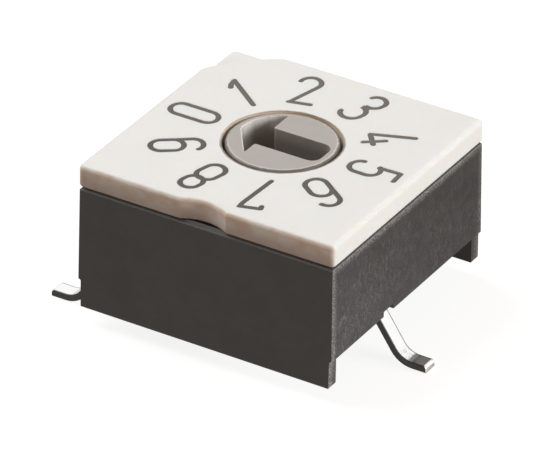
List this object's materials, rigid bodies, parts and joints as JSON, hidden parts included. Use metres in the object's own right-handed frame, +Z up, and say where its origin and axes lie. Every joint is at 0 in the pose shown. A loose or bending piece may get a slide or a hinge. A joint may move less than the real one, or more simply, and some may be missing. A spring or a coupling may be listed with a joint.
{
  "type": "rotary dip switch",
  "caption": "Surface mount rotary code switch with a pale numbered dial plate, an arrow-slotted rotor flush with it and gull-wing leads on two sides.",
  "frame": {"origin": "on the dial axis, in the plane that the undersides of the lead feet stand on", "axes": "+Z up out of the dial, +X towards the single common lead, -X towards the four code leads and the digit 0, -Y towards the notched front edge of the dial plate"},
  "size_m": [0.0132, 0.01, 0.0061],
  "materials": {
    "housing_plastic": "matte moulded",
    "cover_plastic": "matte moulded",
    "numeral_ink": "matte",
    "rotor_plastic": "satin moulded",
    "seal_rubber": "matte",
    "disc_laminate": "satin",
    "gold_plate": "polished",
    "base_plastic": "matte moulded",
    "tin_plate": "satin",
    "spring_steel": "satin",
    "resin": "gloss"
  },
  "bodies": {
    "case": {"housing": "housing_plastic", "cover": "cover_plastic", "numerals": "numeral_ink", "rotor_seal": "seal_rubber", "contact_base": "base_plastic", "sealing_resin": "resin", "terminal_common": "tin_plate", "terminal_1": "tin_plate", "terminal_2": "tin_plate", "terminal_4": "tin_plate", "terminal_8": "tin_plate", "contact_spring_common": "gold_plate", "contact_spring_1": "gold_plate", "contact_spring_2": "gold_plate", "contact_spring_4": "gold_plate", "contact_spring_8": "gold_plate", "detent_spring_front": "spring_steel", "detent_spring_back": "spring_steel"},
    "rotor": {"rotor": "rotor_plastic", "code_disc": "disc_laminate", "code_track": "gold_plate"}
  },
  "joints": [
    {"name": "rotor_turn", "type": "hinge", "parent": "case", "child": "rotor", "pos_m": [0, 0, 0.0045], "axis": [0, 0, 1], "continuous": true}
  ]
}
